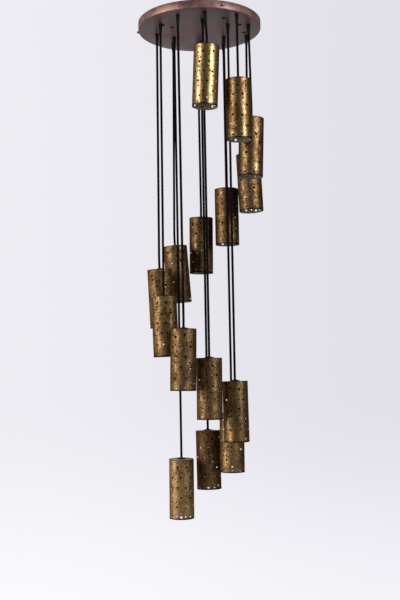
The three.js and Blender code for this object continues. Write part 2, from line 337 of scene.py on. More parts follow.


# Old brass: gold under brown tarnish in clouds, with dark freckles, and painted shade in dark bands along
# the tube's top and foot edges.
# A high tone mark is a lighter, less tarnished shade, which carries both tarnish that differs from shade
# to shade and painted light and shade; a high dull mark is a rougher one.
def agedBrass():
    material, wires = startMaterial("agedBrass")
    place = objectPlace(wires)
    tone, dull, height = (markOf(wires, name) for name in ("tone", "dull", "height"))
    broad = noise(place, brass["broad"], 2)
    cloud = noise(stretched(place, (1, 1, 0.5)), brass["cloud"], 5, 0.65)
    patch = noise(place, brass["patch"], 3, 0.6)
    grain = noise(place, brass["grain"], 2, 0.7)
    freckle = 1 - cells(place, brass["freckle"]).step(*brass["freckleSize"])
    freckle = freckle * noise(place, brass["clump"], 2).step(*brass["clumpEdge"])
    cover = broad * 0.6 + cloud * 1.0 + patch * 0.9 + grain * 0.3
    tarnish = (cover - brass["bare"] - tone).step(*brass["tarnish"])
    colour = tarnish.tint(opaque(brass["gold"]), opaque(brass["olive"]))
    blush = noise(place, brass["blush"], 3).step(*brass["blushEdge"]) * brass["blushShare"]
    colour = blush.tint(colour, opaque(brass["rose"]))
    colour = (freckle * 0.92).tint(colour, opaque(brass["soot"]))
    # Painted shade: the tube's top and foot edges are darkened towards the soot colour
    above = (height - cloud * 0.01).step(*brass["topBand"])
    below = 1 - (height + cloud * 0.02).step(*brass["footBand"])
    colour = (above * 0.75 + below * 0.9).tint(colour, opaque(brass["soot"]))
    rough = brass["roughness"] + dull + 0.20 * tarnish + 0.10 * grain + 0.2 * freckle
    relief = patch * 0.7 + cloud * 0.5 + grain * 0.3 - freckle
    return finishMaterial(material, wires, {
        "Base Color": colour,
        "Metallic": 1.0,
        "Roughness": rough,
        "Specular Tint": opaque(brass["edge"]),
        "Normal": bump(relief, 0.5, 0.0006),
    })


canopyFinish = {
    "brown": (0.170, 0.088, 0.074),
    "plum": (0.084, 0.054, 0.060),
    "rim": (0.29, 0.160, 0.128),
    "rimDark": (0.155, 0.086, 0.074),
    "worn": (0.50, 0.29, 0.20),
    "broad": 11,
    "cloud": 60,
    "grain": 900,
    "mixEdge": (0.62, 1.0),
    "scuffEdge": (0.62, 0.74),
    "rimAt": (0.2062, 0.2082),  # from the axis, where the underside's finish ends and the rim's begins
}


# Copper paint: plum and brown under the pan, and a paler worn rim with a thin coat of lacquer
def canopyCopper():
    material, wires = startMaterial("canopyCopper")
    place = objectPlace(wires)
    broad = noise(place, canopyFinish["broad"], 3)
    cloud = noise(place, canopyFinish["cloud"], 5, 0.65)
    grain = noise(place, canopyFinish["grain"], 2, 0.6)
    reach = wires.node("VectorMath", {"operation": "LENGTH"}, {0: stretched(place, (1, 1, 0))}, "Value")
    side = reach.step(*canopyFinish["rimAt"])
    mix = (broad * 0.9 + cloud * 0.7).step(*canopyFinish["mixEdge"])
    under = mix.tint(opaque(canopyFinish["plum"]), opaque(canopyFinish["brown"]))
    rim = mix.tint(opaque(canopyFinish["rimDark"]), opaque(canopyFinish["rim"]))
    colour = side.tint(under, rim)
    scuff = (cloud * 0.7 + grain * 0.4 + side * 0.05).step(*canopyFinish["scuffEdge"])
    scuff = scuff * (0.15 + 0.3 * side)
    colour = scuff.tint(colour, opaque(canopyFinish["worn"]))
    return finishMaterial(material, wires, {
        "Base Color": colour,
        "Metallic": 0.3 + 0.4 * side,
        "Coat Weight": 0.3 * side,
        "Coat Roughness": 0.32,
        "Roughness": 0.28 + 0.12 * side + 0.15 * mix + 0.1 * grain,
        "Specular IOR Level": 0.25,
        "Normal": bump(grain * 0.6 + cloud, 0.15, 0.0004),
    })


lining = {
    "mouth": (0.18, 0.155, 0.122),
    "deep": (0.016, 0.011, 0.008),
    # Soot and painted shade: the darkening inside, from the mouth up
    "soot": (0.05, 0.45),  # from the mouth up, in shares of the shade's height
}


# Inside a shade: dull brass at the mouth, darker higher up, partly soot from the lamp's heat and partly
# painted shade deep in the tube
def shadeLining():
    material, wires = startMaterial("shadeLining")
    place = objectPlace(wires)
    cloud = noise(place, 50, 4, 0.6)
    grain = noise(place, 600, 2, 0.6)
    # Soot and painted shade: darker with height inside the tube
    soot = (markOf(wires, "height") + cloud * 0.4 - 0.2).step(*lining["soot"])
    return finishMaterial(material, wires, {
        "Base Color": soot.tint(opaque(lining["mouth"]), opaque(lining["deep"])),
        "Metallic": 0.15,
        "Roughness": 0.5 + 0.15 * soot + 0.08 * grain,
        "Normal": bump(grain + cloud * 0.5, 0.3, 0.0003),
    })


# One recipe for the plainer finishes: two close tones, a grain, and a roughness that drifts
def plainFinish(name, light, dark, roughness, metallic=0.0, relief=0.1, gloss=0.5, alpha=1.0):
    material, wires = startMaterial(name)
    place = objectPlace(wires)
    cloud = noise(place, 45, 4, 0.6)
    grain = noise(place, 600, 2, 0.6)
    return finishMaterial(material, wires, {
        "Base Color": cloud.step(0.3, 0.7).tint(opaque(light), opaque(dark)),
        "Metallic": metallic,
        "Roughness": roughness + 0.12 * cloud + 0.06 * grain,
        "Specular IOR Level": gloss,
        "Alpha": alpha,
        "Normal": bump(grain + cloud * 0.5, relief, 0.0003),
    })


flexBlack = plainFinish("flexBlack", (0.0035, 0.003, 0.003), (0.002, 0.0018, 0.0018), 0.72, gloss=0.05)
bakelite = plainFinish("bakelite", (0.016, 0.013, 0.011), (0.008, 0.0065, 0.0055), 0.45, gloss=0.15)
bushBlack = plainFinish("bushBlack", (0.007, 0.006, 0.006), (0.004, 0.0035, 0.0035), 0.66, gloss=0.10)
zincSteel = plainFinish("zincSteel", (0.55, 0.55, 0.53), (0.40, 0.40, 0.39), 0.32, 1.0)
plateSteel = plainFinish("plateSteel", (0.30, 0.30, 0.29), (0.21, 0.21, 0.205), 0.6, 0.6)
terminalPlastic = plainFinish("terminalPlastic", (0.74, 0.72, 0.64), (0.66, 0.63, 0.54), 0.4)
# Painted shade: the bulb's glass is dark and clouded, so that the inside of each shade reads dark through
# its holes
dustyGlass = plainFinish(
    "dustyGlass", (0.085, 0.08, 0.07), (0.05, 0.047, 0.04), 0.06, relief=0.0, gloss=0.35, alpha=0.38
)
clearStem = plainFinish("clearStem", (0.5, 0.51, 0.5), (0.4, 0.41, 0.4), 0.1, relief=0.0, alpha=0.45)
# Painted shade: a black finish for the rim screw that stands at the canopy's outline
blackSteel = plainFinish("blackSteel", (0.020, 0.014, 0.012), (0.011, 0.008, 0.007), 0.5, 0.2, gloss=0.2)
lampBrass = plainFinish("lampBrass", (0.62, 0.50, 0.27), (0.50, 0.38, 0.19), 0.3, 1.0)
# The lids' pale finish is dust and painted light on their upward faces
dustyBrass = plainFinish(
    "dustyBrass", (0.44, 0.35, 0.29), (0.27, 0.20, 0.155), 0.7, 0.15, relief=0.25, gloss=0.15
)
brassShell = agedBrass()
copperPan = canopyCopper()
dullLining = shadeLining()
print("finishes made")

# Flexes: straight down from the exit, then a short bend into the line of the shade

flex = {"radius": 0.0040, "leadIn": 0.024, "sunk": 0.0025, "straightPoints": 10, "bendPoints": 8}
sleeve = {
    "start": 0.0083,  # below the exit
    "length": 0.0235,
    "root": 0.0064,
    "tip": 0.0048,
    "ribs": 5,
    "ribDepth": 0.00035,
    "gap": 0.00003,  # round the flex
    "edge": 0.0004,
    "sides": 24,
}


# A straight line to the bend's start, then a quadratic arc whose ends follow the line and the shade's axis
def flexRoute(place):
    end = place["top"] + place["up"] * (hang["capTop"] - flex["sunk"])
    lead = end + place["up"] * flex["leadIn"]
    along = lead - place["exit"]
    along /= np.linalg.norm(along)
    start = lead - along * flex["leadIn"]
    t = np.linspace(0, 1, flex["straightPoints"], endpoint=False)[:, None]
    line = place["exit"] * (1 - t) + start * t
    t = np.linspace(0, 1, flex["bendPoints"])[:, None]
    bend = start * (1 - t) ** 2 + 2 * lead * t * (1 - t) + end * t ** 2
    return np.concatenate([line, bend])


# The bend relief below the bush: a sleeve that narrows downwards, with ribs that wave along it
def makeSleeve(place, route):
    t = np.linspace(0, 1, 8 * sleeve["ribs"] + 1)
    wave = 0.5 - 0.5 * np.cos(2 * math.pi * sleeve["ribs"] * t)
    radius = sleeve["root"] + (sleeve["tip"] - sleeve["root"]) * t - sleeve["ribDepth"] * wave
    depth = -sleeve["start"] - sleeve["length"] * t
    inside = flex["radius"] + sleeve["gap"]
    edge = sleeve["edge"]
    profile = [(inside, depth[0] + edge), (radius[0] - edge, depth[0] + edge)]
    profile += list(zip(radius, depth))
    profile += [(radius[-1] - edge, depth[-1] - edge), (inside, depth[-1] - edge)]
    points, faces = turned(profile[::-1], sleeve["sides"], True)
    upwards = route[0] - route[1]
    points = points @ aligned(upwards / np.linalg.norm(upwards)).T + route[0]
    piece = makeMesh("flex_sleeve_" + place["number"], points, faces, bushBlack)
    return settle(piece, place["body"], "black_rubber", "flex_" + place["number"])


# The flex: a round section carried along its route, with its sleeve
def makeFlex(place):
    route = flexRoute(place)
    name = "flex_cord_" + place["number"]
    curve = bpy.data.curves.new(name, "CURVE")
    curve.dimensions = "3D"
    curve.bevel_depth = flex["radius"]
    curve.bevel_resolution = 3
    curve.use_fill_caps = True
    spline = curve.splines.new("POLY")
    spline.points.add(len(route) - 1)
    for point, spot in zip(spline.points, route):
        point.co = (*spot, 1.0)
    spline.use_smooth = True
    curve.materials.append(flexBlack)
    piece = bpy.data.objects.new(name, curve)
    bpy.context.scene.collection.objects.link(piece)
    settle(piece, place["body"], "flex_black", "flex_" + place["number"])
    makeSleeve(place, route)


for place in places:
    makeFlex(place)
print("flexes hung")

# Shades: a tube unrolled into square cells; a cell is plain or has one round hole through the sheet

shade = {
    "radius": 0.0416,
    "length": 0.197,
    "wall": 0.0012,
    "cellsAround": 16,
    "cellsUp": 12,
    "largeHole": 0.0039,
    "smallHole": 0.0025,
    "plainRing": 0.0028,  # radius of the ring of points in a cell without a hole
    "edge": 0.00022,  # chamfer round each hole
    "largeShare": 0.94,
    "smallShare": 0.54,
    "largeDrift": 0.0034,
    "smallDrift": 0.0050,
    "mouthRaise": 0.0022,  # the lowest row stands higher in its cells
    "steps": 4,  # mesh steps along a cell's side
    "lidSheet": 0.0015,
    "lidSunk": 0.0004,
    "lidGap": 0.00005,
    "lidHole": 0.0053,
    "lidFillet": 0.0005,
    "lidSides": 64,
    "seed": 41,
}


# How much lighter and less tarnished each shade is than the middling one, from the highest shade down:
# partly tarnish that differs from shade to shade, partly painted light and shade for how each shade is lit
shadeToneAndLight = (
    0.21, -0.02, 0.0, -0.09, -0.11, -0.07, -0.13, -0.04, 0.03, -0.02, 0.06, 0.04, 0.05, -0.07, 0.22
)

# How much lighter each shade's foot is made than its top, through its tone
shadeFades = (0.0, -0.08, 0.0, 0.0, -0.06, 0.12, 0.0, 0.0, 0.0, 0.0, 0.0, 0.0, 0.0, 0.08, 0.13)

# How much rougher each shade is than the glossiest one
shadeDulls = (0.02, 0.0, 0.0, 0.03, 0.03, 0.05, 0.10, 0.10, 0.10, 0.08, 0.08, 0.05, 0.10, 0.10, 0.18)


# The unrolled sheet wrapped round the axis: angle = u / radius, height = v - length
def wrapped(u, v, depth):
    angle = u / shade["radius"]
    radius = shade["radius"] - depth
    height = v - shade["length"] + 0 * u
    return np.stack([radius * np.cos(angle), radius * np.sin(angle), height], axis=-1)


# Each cell's hole. Every second row has large ones, two cells apart and staggered from one such row to the
# next. Small ones are strewn over the cells between, and a few of either are left out.
def holePattern(seed):
    random = np.random.default_rng(seed)
    around, up = shade["cellsAround"], shade["cellsUp"]
    column, row = np.meshgrid(np.arange(around), np.arange(up))
    main = (row % 2 == 0) & ((column + row // 2) % 2 == 0)
    chance = random.random((up, around))
    large = main & (chance < shade["largeShare"])
    small = ~main & (chance < shade["smallShare"])
    drift = np.where(large, shade["largeDrift"], shade["smallDrift"])
    offsetU = random.uniform(-1, 1, (up, around)) * drift
    offsetV = random.uniform(-1, 1, (up, around)) * drift
    offsetV = np.where(row == 0, shade["mouthRaise"] + 0.5 * offsetV, offsetV)
    radius = np.where(small, shade["smallHole"], shade["plainRing"])
    radius = np.where(large, shade["largeHole"], radius)
    side = 2 * math.pi * shade["radius"] / around
    rise = shade["length"] / up
    return {
        "open": (large | small).ravel(),
        "u": ((column + 0.5) * side + offsetU).ravel(),
        "v": ((row + 0.5) * rise + offsetV).ravel(),
        "radius": radius.ravel(),
        "column": column.ravel(),
        "row": row.ravel(),
    }


# The ring of lattice points round each cell, anticlockwise from its lower left corner
def cellBorders(cells):
    steps = shade["steps"]
    along = np.arange(steps)
    flat = np.zeros(steps, int)
    ringU = np.concatenate([along, flat + steps, steps - along, flat])
    ringV = np.concatenate([flat, along, flat + steps, steps - along])
    columns = shade["cellsAround"] * steps
    u = (cells["column"][:, None] * steps + ringU) % columns
    v = cells["row"][:, None] * steps + ringV
    return v * columns + u


# Circles round the hole centres, with one point for each point of the cell's border
def holeRings(cells, grow, depth):
    count = 4 * shade["steps"]
    angle = math.radians(-135) + np.arange(count) * (2 * math.pi / count)
    radius = cells["radius"][:, None] + grow
    u = cells["u"][:, None] + radius * np.cos(angle)
    v = cells["v"][:, None] + radius * np.sin(angle)
    return wrapped(u, v, depth)


# Quads between two rings of each cell
def bridge(first, second):
    quads = np.stack([first, np.roll(first, -1, axis=1), np.roll(second, -1, axis=1), second], axis=-1)
    return quads.reshape(-1, 4)


# Triangles from each cell's ring to its middle
def fan(ring, centre):
    centre = np.broadcast_to(centre[:, None], ring.shape)
    return np.stack([ring, np.roll(ring, -1, axis=1), centre], axis=-1).reshape(-1, 3)


# Layers of points: the lattice outside and inside, four rings round each hole, and the cells' middles
def shadeTube(seed):
    cells = holePattern(seed)
    steps, edge, wall = shade["steps"], shade["edge"], shade["wall"]
    columns, rows = shade["cellsAround"] * steps, shade["cellsUp"] * steps + 1
    u = np.arange(columns) * (2 * math.pi * shade["radius"] / columns)
    v = np.linspace(0, shade["length"], rows)
    latticeU, latticeV = (part.ravel() for part in np.meshgrid(u, v))
    border = cellBorders(cells)
    layers = [wrapped(latticeU, latticeV, 0), wrapped(latticeU, latticeV, wall)]
    for grow, depth in ((edge, 0), (0, edge), (0, wall - edge), (edge, wall)):
        layers.append(holeRings(cells, grow, depth).reshape(-1, 3))
    layers += [wrapped(cells["u"], cells["v"], depth) for depth in (0, wall)]
    starts = np.cumsum([0] + [len(layer) for layer in layers])
    ring = np.arange(border.size).reshape(border.shape)
    outer, outerEdge, innerEdge, inner = (ring + starts[2 + k] for k in range(4))
    number = np.arange(len(border))
    hole, plain = cells["open"], ~cells["open"]
    lattice = np.arange(columns)
    ringNext = np.roll(lattice, -1)
    topRow = lattice + (rows - 1) * columns
    topNext = ringNext + (rows - 1) * columns
    back = starts[1]
    outside = [bridge(border, outer), fan(outer[plain], number[plain] + starts[6])]
    inside = [bridge(inner, border + back), fan(inner[plain][:, ::-1], number[plain] + starts[7])]
    rims = [
        bridge(outer[hole], outerEdge[hole]),
        bridge(outerEdge[hole], innerEdge[hole]),
        bridge(innerEdge[hole], inner[hole]),
        np.stack([lattice + back, ringNext + back, ringNext, lattice], axis=-1),
        np.stack([topRow, topNext, topNext + back, topRow + back], axis=-1),
    ]
    points = np.concatenate(layers)
    return dropUnused(points, outside, inside, rims)


# Leaves out the points that no face uses, and gives the wall's true normals to the sheet's two sides
def dropUnused(points, outside, inside, rims):
    faces = outside + inside + rims
    used = np.unique(np.concatenate([part.ravel() for part in faces]))
    renumber = np.zeros(len(points), int)
    renumber[used] = np.arange(len(used))
    radial = points * (1, 1, 0)
    radial /= np.maximum(np.linalg.norm(radial, axis=1, keepdims=True), 1e-9)
    normals = [radial[part.ravel()] for part in outside]
    normals += [-radial[part.ravel()] for part in inside]
    normals += [np.zeros((part.size, 3)) for part in rims]
    sizes = [sum(len(part) for part in group) for group in (outside, inside, rims)]
    lined = np.repeat([False, True, False], sizes)
    return points[used], [renumber[part] for part in faces], np.concatenate(normals), lined


def makeShade(place):
    points, faces, normals, lined = shadeTube(shade["seed"] + int(place["number"]))
    turn = aligned(place["up"], place["turn"]).T
    which = int(place["number"]) - 1
    height = 1 + points[:, 2] / shade["length"]
    tone = shadeToneAndLight[which] + shadeFades[which] * (0.5 - height)
    marks = {"tone": tone, "dull": shadeDulls[which], "height": height}
    piece = makeMesh(
        "perforated_shade_" + place["number"], hung(points, place), faces, brassShell,
        sharp=40, merge=False, normals=normals @ turn, marks=marks,
    )
    piece.data.materials.append(dullLining)
    piece.data.polygons.foreach_set("material_index", lined.astype(np.int32))
    settle(piece, place["body"], "aged_brass", "shade_" + place["number"])


# The lid is a disc soldered in just below the tube's top edge, with the nipple's hole in the middle
def makeLid(place):
    hole, fillet = shade["lidHole"], shade["lidFillet"]
    outside = shade["radius"] - shade["wall"] - shade["lidGap"]
    high = -shade["lidSunk"]
    low = high - shade["lidSheet"]
    profile = [(hole, low), (outside, low)]
    profile += arc((outside - fillet, high - fillet), fillet, 0, 90)
    profile += [(hole, high)]
    lid = turned(profile, shade["lidSides"], True)
    # Dust and painted light: the lid's pale finish
    hangPiece(place, "shade_lid_", lid, dustyBrass, "aged_brass", "shade_")


for place in places:
    makeShade(place)
    makeLid(place)
print("shades made")

# Cap, lampholder and bulb, all turned about the shade's axis

lamp = {
    "boreRadius": 0.0043,
    "nippleRadius": 0.005,
    "nippleTop": 0.0002,  # above the shade's top
    "holderTop": -0.0020,
    "holderLength": 0.0495,
    "sides": 48,
}


def holderFoot():
    return lamp["holderTop"] - lamp["holderLength"]


cap = {
    "radius": 0.015,
    "height": 0.005,
    "seat": 0.0003,
    "edge": 0.0004,
    "fillet": 0.0012,
    "filletHeight": 0.0018,  # of its middle
    # radius, and depth below the cap's top
    "dome": ((0.0095, 0.0013), (0.0068, 0.0011), (0.0064, 0.0003), (0.0058, 0.0)),
}


# A low domed cap with a collar round the flex
def makeCap(place):
    seat, edge, fillet = cap["seat"], cap["edge"], cap["fillet"]
    high = seat + cap["height"]
    bore = lamp["boreRadius"]
    profile = [(bore, seat), (cap["radius"] - edge, seat)]
    profile += arc((cap["radius"] - fillet, cap["filletHeight"]), fillet, -20, 60)
    profile += [(radius, high - depth) for radius, depth in cap["dome"]]
    profile += [(bore + edge, high), (bore, high - edge)]
    shape = turned(profile, lamp["sides"], True)
    hangPiece(place, "cord_cap_", shape, bakelite, "bakelite", "lampholder_")


# Heights are above the holder's foot, and a pair is a radius and a height
holder = {
    "radius": 0.0195,
    "ribs": 5,
    "ribDepth": 0.0007,
    "ribStart": 0.006,
    "ribLength": 0.020,
    "lip": 0.0025,
    "mouth": 0.0142,
    "mouthEdge": (0.0148, 0.0006),
    "floor": (0.012, 0.012),
    "boreEnd": 0.014,
    "step": 0.0012,
    "stepHeights": (0.030, 0.034),
    "shoulder": (0.0165, 0.042),
    "shoulderTop": 0.0120,
}


# The holder: a nipple, a shoulder, a ribbed skirt whose radius waves with height, and an open mouth
def makeHolder(place):
    top, foot, radius, lip = lamp["holderTop"], holderFoot(), holder["radius"], holder["lip"]
    bore, nipple, nippleTop = lamp["boreRadius"], lamp["nippleRadius"], lamp["nippleTop"]
    wave = np.linspace(0, 1, 8 * holder["ribs"] + 1)
    skirt = np.stack([
        radius - holder["ribDepth"] * (0.5 - 0.5 * np.cos(2 * math.pi * holder["ribs"] * wave)),
        foot + holder["ribStart"] + holder["ribLength"] * wave,
    ], axis=-1)
    mouth, (edge, edgeHeight), (inside, floor) = holder["mouth"], holder["mouthEdge"], holder["floor"]
    profile = [(mouth, foot + floor), (mouth, foot + edgeHeight), (edge, foot), (radius - lip, foot)]
    profile += arc((radius - lip, foot + lip), lip, -60, 0, 4)
    profile += [tuple(row) for row in skirt]
    profile += [(radius - holder["step"], foot + height) for height in holder["stepHeights"]]
    shoulder, shoulderHeight = holder["shoulder"]
    profile += [(shoulder, foot + shoulderHeight)]
    profile += [(holder["shoulderTop"], top), (nipple, top), (nipple, nippleTop)]
    profile += [(bore, nippleTop), (bore, foot + holder["boreEnd"]), (inside, foot + floor)]
    shape = turned(profile, lamp["sides"], True)
    hangPiece(place, "lamp_holder_", shape, bakelite, "bakelite", "lampholder_")


bulb = {
    "ball": 0.030,
    "neck": 0.013,
    "neckEdge": 0.0006,
    "neckTop": 0.003,  # above the holder's foot
    "closing": 0.001,
    "base": 0.0126,
    "baseFoot": 0.0045,  # above the holder's foot
    "baseInset": 0.0004,
    "baseEdge": 0.0003,
    "thread": 0.0005,
    "threadLength": 0.0105,
    "threadTurns": 4,
    "baseTip": 0.0060,
}


# The bulb's glass: a ball that narrows into a neck by a smooth blend t * t * (3 - 2 * t), filled inside
def makeBulb(place):
    tip = -hang["tipDepth"]
    ball, neck = bulb["ball"], bulb["neck"]
    profile = [(0.0, tip)] + arc((0, tip + ball), ball, -86, 38, 26)
    last = profile[-1]
    t = np.linspace(0, 1, 9)[1:]
    blend = t * t * (3 - 2 * t)
    high = holderFoot() + bulb["neckTop"]
    rise = high - last[1]
    profile += [(last[0] + (neck - last[0]) * b, last[1] + rise * s) for b, s in zip(blend, t)]
    profile += [(neck - bulb["neckEdge"], high + bulb["closing"]), (0.0, high + bulb["closing"])]
    shape = turned(profile, lamp["sides"])
    # Painted shade: the glass is dark, for the dark inside of the shade
    hangPiece(place, "bulb_glass_", shape, dustyGlass, "lamp_glass", "lampholder_")


# The bulb's screw base: a thread whose radius waves with height
def makeBulbBase(place):
    foot = holderFoot() + bulb["baseFoot"]
    wave = np.linspace(0, 1, 8 * bulb["threadTurns"] + 1)
    radius = bulb["base"] + bulb["thread"] * np.sin(2 * bulb["threadTurns"] * math.pi * wave)
    thread = np.stack([radius, foot + bulb["threadLength"] * wave], axis=-1)
    low = foot - bulb["baseInset"]
    high = foot + bulb["threadLength"] + bulb["baseEdge"]
    profile = [(0.0, low), (bulb["base"] - bulb["baseInset"], low)] + [tuple(row) for row in thread]
    profile += [(bulb["baseTip"], high), (0.0, high)]
    shape = turned(profile, lamp["sides"])
    hangPiece(place, "bulb_base_", shape, lampBrass, "aged_brass", "lampholder_")


for place in places:
    makeCap(place)
    makeHolder(place)
    makeBulb(place)
    makeBulbBase(place)
print("lampholders made")

# Inside each bulb, a glass stem and a filament on it

filament = {
    "ring": 0.0085,
    "wire": 0.0004,
    "waves": 9,
    "wave": 0.0045,
    "height": -0.098,
    "steps": 144,
    "sides": 6,
}
stem = {
    "button": 0.0020,
    "buttonHeight": 0.006,  # above the filament
    "waist": (0.0014, 0.004),  # radius, and height above the button
    "flare": ((0.0022, 0.016), (0.0050, 0.004), (0.0092, 0.0)),  # radius, and depth below the foot
    "footDepth": 0.001,  # below the holder
    "sides": 24,
}


# The stem widens at its foot in the bulb's neck and ends in a small button that carries the filament
def makeStem(place):
    foot = holderFoot() - stem["footDepth"]
    end = filament["height"] + stem["buttonHeight"]
    profile = [(0.0, end - stem["button"])] + arc((0, end), stem["button"], -60, 60, 6)
    waist, waistHeight = stem["waist"]
    profile += [(waist, end + waistHeight)]
    profile += [(radius, foot - depth) for radius, depth in stem["flare"]]
    shape = turned(profile + [(0.0, foot)], stem["sides"])
    hangPiece(place, "bulb_stem_", shape, clearStem, "lamp_glass", "lampholder_")


# A thin tube along a ring that waves up and down, with a round section in the plane of radius and height
def makeFilament(place):
    turn = np.linspace(0, 2 * math.pi, filament["steps"], endpoint=False)[:, None]
    section = np.linspace(0, 2 * math.pi, filament["sides"], endpoint=False)[None, :]
    radius = filament["ring"] + filament["wire"] * np.cos(section) + 0 * turn
    height = filament["height"] + filament["wave"] * np.cos(filament["waves"] * turn)
    height = height + filament["wire"] * np.sin(section)
    points = np.stack([radius * np.cos(turn), radius * np.sin(turn), height], axis=-1).reshape(-1, 3)
    faces = [gridFaces(filament["steps"], filament["sides"], True)[:, ::-1]]
    hangPiece(place, "bulb_filament_", (points, faces), zincSteel, "zinc_steel", "lampholder_", 80)


for place in places:
    makeStem(place)
    makeFilament(place)
print("bulbs filled")

# Canopy: the pan and the ceiling plate are sheets with round holes

canopy = {
    "radius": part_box("canopy_pan")[1].x,
    "height": 0.027,
    "sheet": 0.0015,
    "corner": 0.0025,
    "edge": 0.0004,
    "ceilingGap": 0.001,
    "sides": 180,
    "holeSides": 28,
    "bushHole": 0.0062,
    "plugHole": 0.0053,
    "spareHoles": ((-0.093, -0.037, 0.007), (0.152, 0.025, 0.007), (0.148, 0.103, 0.0035)),
    "floorEdge": 0.001,  # the fillet between the wall and the floor, inside the pan
    "floorFillet": (0.0006, 0.0002),  # a point of it, from the wall and above the floor
}


def circle(x, y, radius, sides):
    angle = np.arange(sides) * (2 * math.pi / sides)
    return np.stack([x + radius * np.cos(angle), y + radius * np.sin(angle)], axis=-1)


# A flat disc with round holes, as triangles that face up, and the corner numbers of its edge and holes
def piercedDisc(radius, holes):
    loops = [circle(0, 0, radius, canopy["sides"])]
    loops += [circle(x, y, r, canopy["holeSides"]) for x, y, r in holes]
    corners = np.concatenate(loops)
    starts = np.cumsum([0] + [len(loop) for loop in loops])
    rings = [np.arange(start, start + len(loop)) for start, loop in zip(starts, loops)]
    edges = np.concatenate([np.stack([ring, np.roll(ring, -1)], axis=-1) for ring in rings])
    found = delaunay_2d_cdt([Vector(p) for p in corners], edges.tolist(), [], 0, 1e-9)
    first = np.array([originals[0] for originals in found[3]])  # the corner behind each of its points
    triangles = first[np.array(found[2])]
    middle = corners[triangles].mean(axis=1)
    keep = np.ones(len(triangles), bool)
    for x, y, r in holes:
        keep &= np.hypot(middle[:, 0] - x, middle[:, 1] - y) > r
    a, b, c = (corners[triangles[:, k]] for k in range(3))
    facing = (b[:, 0] - a[:, 0]) * (c[:, 1] - a[:, 1]) - (b[:, 1] - a[:, 1]) * (c[:, 0] - a[:, 0])
    triangles = np.where(facing[:, None] > 0, triangles, triangles[:, ::-1])
    return corners, triangles[keep], rings


# A round tray: two pierced discs a sheet apart, the holes' walls, and an edge carried along a profile
def makeTray(name, material, holes, lowRadius, highRadius, low, high, edgeProfile):
    lowCorners, lowFaces, rings = piercedDisc(lowRadius, holes)
    highCorners, highFaces, highRings = piercedDisc(highRadius, holes)
    count = len(lowCorners)
    below = np.column_stack([lowCorners, np.full(count, low)])
    above = np.column_stack([highCorners, np.full(len(highCorners), high)])
    walls = []
    for ring, upper in zip(rings[1:], highRings[1:]):
        ahead, upperAhead = np.roll(ring, -1), np.roll(upper, -1)
        walls.append(np.stack([ahead, ring, upper + count, upperAhead + count], axis=-1))
    sides = canopy["sides"]
    edgePoints, edgeFaces = turned([(lowRadius, low)] + edgeProfile + [(highRadius, high)], sides)
    points = np.concatenate([below, above, edgePoints])
    faces = [lowFaces[:, ::-1], highFaces + count, np.concatenate(walls), edgeFaces[0] + 2 * count]
    return makeMesh(name, points, faces, material, 50)


def plugCentre(number):
    low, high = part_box("blanking_plug_%d" % number)
    return (low + high) / 2


# The pan: a flat underside, a rounded corner up to the rim's wall, and a hole for each bush and plug
def makePan():
    radius, corner, edge = canopy["radius"], canopy["corner"], canopy["edge"]
    low, top = -canopy["height"], -canopy["ceilingGap"]
    inside = radius - canopy["sheet"]
    floor = low + canopy["sheet"]
    holes = [(place["exit"][0], place["exit"][1], canopy["bushHole"]) for place in places]
    holes += [(*plugCentre(k)[:2], canopy["plugHole"]) for k in (1, 2, 3)]
    holes += list(canopy["spareHoles"])
    profile = arc((radius - corner, low + corner), corner, -75, 0, 6)
    profile += [(radius, top - edge), (radius - edge, top), (inside + edge, top)]
    profile += [(inside, top - edge), (inside, floor + canopy["floorEdge"])]
    inset, raised = canopy["floorFillet"]
    profile += [(inside - inset, floor + raised)]
    reach = inside - canopy["floorEdge"]
    pan = makeTray("canopy_bowl", copperPan, holes, radius - corner, reach, low, floor, profile)
    settle(pan, "canopy", "canopy_copper", "canopy_pan")


plate = {
    "radius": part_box("ceiling_plate")[1].x,
    "depth": 0.021,
    "sheet": 0.002,
    "fixingHole": 0.003,
    "fixingReach": 0.120,
    "fixingAngles": (30, 150, 270),
    "pieceHoles": (("supply_grommet", 0.0103), ("plate_earth_screw", 0.0023)),
    "innerEdge": 0.001,
    "fillet": 0.0012,
    "flatInset": 0.0014,  # from the flange's radius to the flat top
}


# The ceiling plate: a disc against the ceiling, with a flange turned down round it
def makePlate():
    sheet, radius, fillet = plate["sheet"], plate["radius"], plate["fillet"]
    holes = [
        (
            plate["fixingReach"] * math.cos(math.radians(angle)),
            plate["fixingReach"] * math.sin(math.radians(angle)),
            plate["fixingHole"],
        )
        for angle in plate["fixingAngles"]
    ]
    for node, hole in plate["pieceHoles"]:
        low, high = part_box(node)
        holes.append(((low.x + high.x) / 2, (low.y + high.y) / 2, hole))
    inner = radius - sheet
    profile = [(inner, -sheet - plate["innerEdge"]), (inner, -plate["depth"]), (radius, -plate["depth"])]
    profile += arc((radius - fillet, -fillet), fillet, 0, 80, 5)
    reach = inner - plate["innerEdge"]
    flat = radius - plate["flatInset"]
    disc = makeTray("ceiling_disc", plateSteel, holes, reach, flat, -sheet, 0.0, profile)
    settle(disc, "canopy", "zinc_steel", "ceiling_plate")


makePan()
makePlate()

# Cord bushes: a flange against the pan, a tapered sleeve, and a bore that opens like a bell

bush = {
    "flange": 0.0071,
    "flangeHeight": 0.0010,
    "root": 0.0066,
    "lip": 0.0062,
    "inPan": 0.0060,
    "inPanHeight": 0.004,
    "length": 0.0060,
    "throat": 0.00432,
    "lipEdge": 0.0003,
    "lipWall": 0.0006,
    "rootFillet": (0.0002, 0.0004),  # out and down
    "seat": 0.00002,  # a hair's gap under the pan
    "sides": 32,
}


